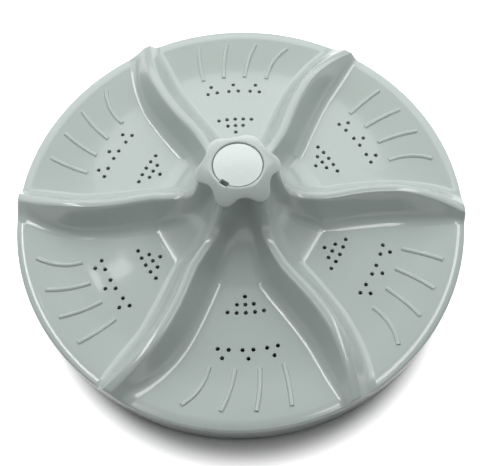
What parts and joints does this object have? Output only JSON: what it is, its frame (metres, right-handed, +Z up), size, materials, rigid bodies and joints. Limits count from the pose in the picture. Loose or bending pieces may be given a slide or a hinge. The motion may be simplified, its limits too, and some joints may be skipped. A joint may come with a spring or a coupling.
{
  "type": "washing machine pulsator",
  "caption": "Round moulded washing machine pulsator with swept S-curved vanes running up into a star-topped centre column, perforated ribbed panels and a snap-in centre cap.",
  "frame": {"origin": "centre of the ring that the rim stands on", "axes": "+Z up along the drive shaft; +X along the outer end of one vane's radius"},
  "size_m": [0.325, 0.325, 0.0843],
  "materials": {
    "pale_plastic": "glossy pale grey-green moulding",
    "cap_plastic": "glossy near white",
    "brass": "turned and broached"
  },
  "bodies": {
    "root": {"pulsator_body": "pale_plastic", "centre_cap": "cap_plastic", "drive_bush": "brass"}
  },
  "joints": []
}
